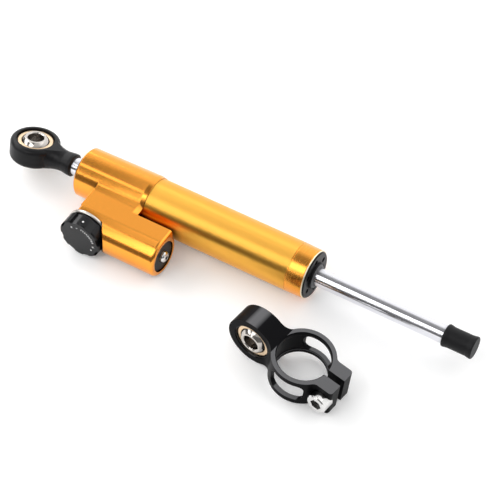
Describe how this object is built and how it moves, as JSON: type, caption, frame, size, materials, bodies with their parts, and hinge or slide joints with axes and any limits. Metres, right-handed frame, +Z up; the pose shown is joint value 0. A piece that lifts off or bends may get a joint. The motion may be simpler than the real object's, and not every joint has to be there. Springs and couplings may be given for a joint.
{
  "type": "steering damper",
  "caption": "Gold linear steering damper with a through rod, side reservoir and adjuster knob, a spherical rod end, and a loose split clamp with a spherical eye.",
  "frame": {"origin": "centre of the rod end's ball", "axes": "+X along the rod towards its free end, +Z up from the floor that the damper lies on, reservoir and clamp on the -Y side"},
  "size_m": [0.2542, 0.0746, 0.0266],
  "materials": {
    "gold_anodised": "turned and gold anodised, glossy",
    "black_anodised": "bead-blasted and black anodised, satin",
    "chrome": "polished hard chrome",
    "bronze": "turned, satin",
    "rubber": "moulded, matt",
    "pale_plastic": "turned, matt",
    "grey_rubber": "moulded, matt grey",
    "bare_aluminium": "turned, bright",
    "steel": "zinc plated, bright",
    "black_steel": "phosphated spring steel"
  },
  "bodies": {
    "damper_body": {"head_block": "gold_anodised", "body_tube": "gold_anodised", "end_collar": "gold_anodised", "inner_cylinder": "bare_aluminium", "tube_o_ring": "rubber", "head_bush": "bronze", "head_rod_seal": "rubber", "head_wiper": "rubber", "end_gland": "black_anodised", "gland_bush": "bronze", "gland_rod_seal": "rubber", "gland_wiper": "grey_rubber", "gland_o_ring": "rubber", "reservoir_plug": "black_anodised", "plug_o_ring": "rubber", "bleed_screw": "steel", "bleed_washer": "bronze", "floating_piston_spring": "steel", "adjuster_gland": "bare_aluminium", "adjuster_gland_o_ring": "rubber", "spindle_o_ring": "rubber", "detent_ball": "chrome", "detent_spring": "steel"},
    "piston_band": {"piston_band": "pale_plastic"},
    "rod": {"piston_rod": "chrome", "piston": "bare_aluminium", "piston_circlips": "black_steel", "rod_cap": "rubber", "rod_end_housing": "black_anodised", "rod_end_race": "bronze"},
    "rod_end_ball": {"rod_end_ball": "chrome"},
    "adjuster": {"adjuster_knob": "black_anodised", "valve_spindle": "steel", "knob_grub_screw": "steel"},
    "floating_piston": {"floating_piston": "bare_aluminium", "floating_piston_o_ring": "rubber"},
    "clamp": {"clamp_ring": "black_anodised", "clamp_race": "bronze", "clamp_circlips": "black_steel", "clamp_bolt": "steel"},
    "clamp_ball": {"clamp_ball": "chrome"}
  },
  "joints": [
    {"name": "rod_slide", "type": "slide", "parent": "damper_body", "child": "piston_band", "axis": [-1, 0, 0], "range_m": [0, 0.066]},
    {"name": "rod_spin", "type": "hinge", "parent": "piston_band", "child": "rod", "pos_m": [0.1, 0, 0], "axis": [1, 0, 0], "continuous": true},
    {"name": "rod_end_ball_tilt", "type": "hinge", "parent": "rod", "child": "rod_end_ball", "pos_m": [0, 0, 0], "axis": [0, 0.9613, -0.2756], "range_deg": [-12, 12]},
    {"name": "adjuster_turn", "type": "hinge", "parent": "damper_body", "child": "adjuster", "pos_m": [0.0512, -0.03, -0.0022], "axis": [0, -1, 0], "range_deg": [-90, 90]},
    {"name": "floating_piston_slide", "type": "slide", "parent": "damper_body", "child": "floating_piston", "axis": [1, 0, 0], "range_m": [-0.002, 0.002], "deforming": ["floating_piston_spring"]},
    {"name": "clamp_lift", "type": "slide", "parent": "damper_body", "child": "clamp", "axis": [0, 0, 1], "range_m": [0, 0.05]},
    {"name": "clamp_ball_tilt", "type": "hinge", "parent": "clamp", "child": "clamp_ball", "pos_m": [0.15408, -0.04303, -0.0005], "axis": [0.1073, -0.0147, 0.9941], "range_deg": [-12, 12]}
  ]
}
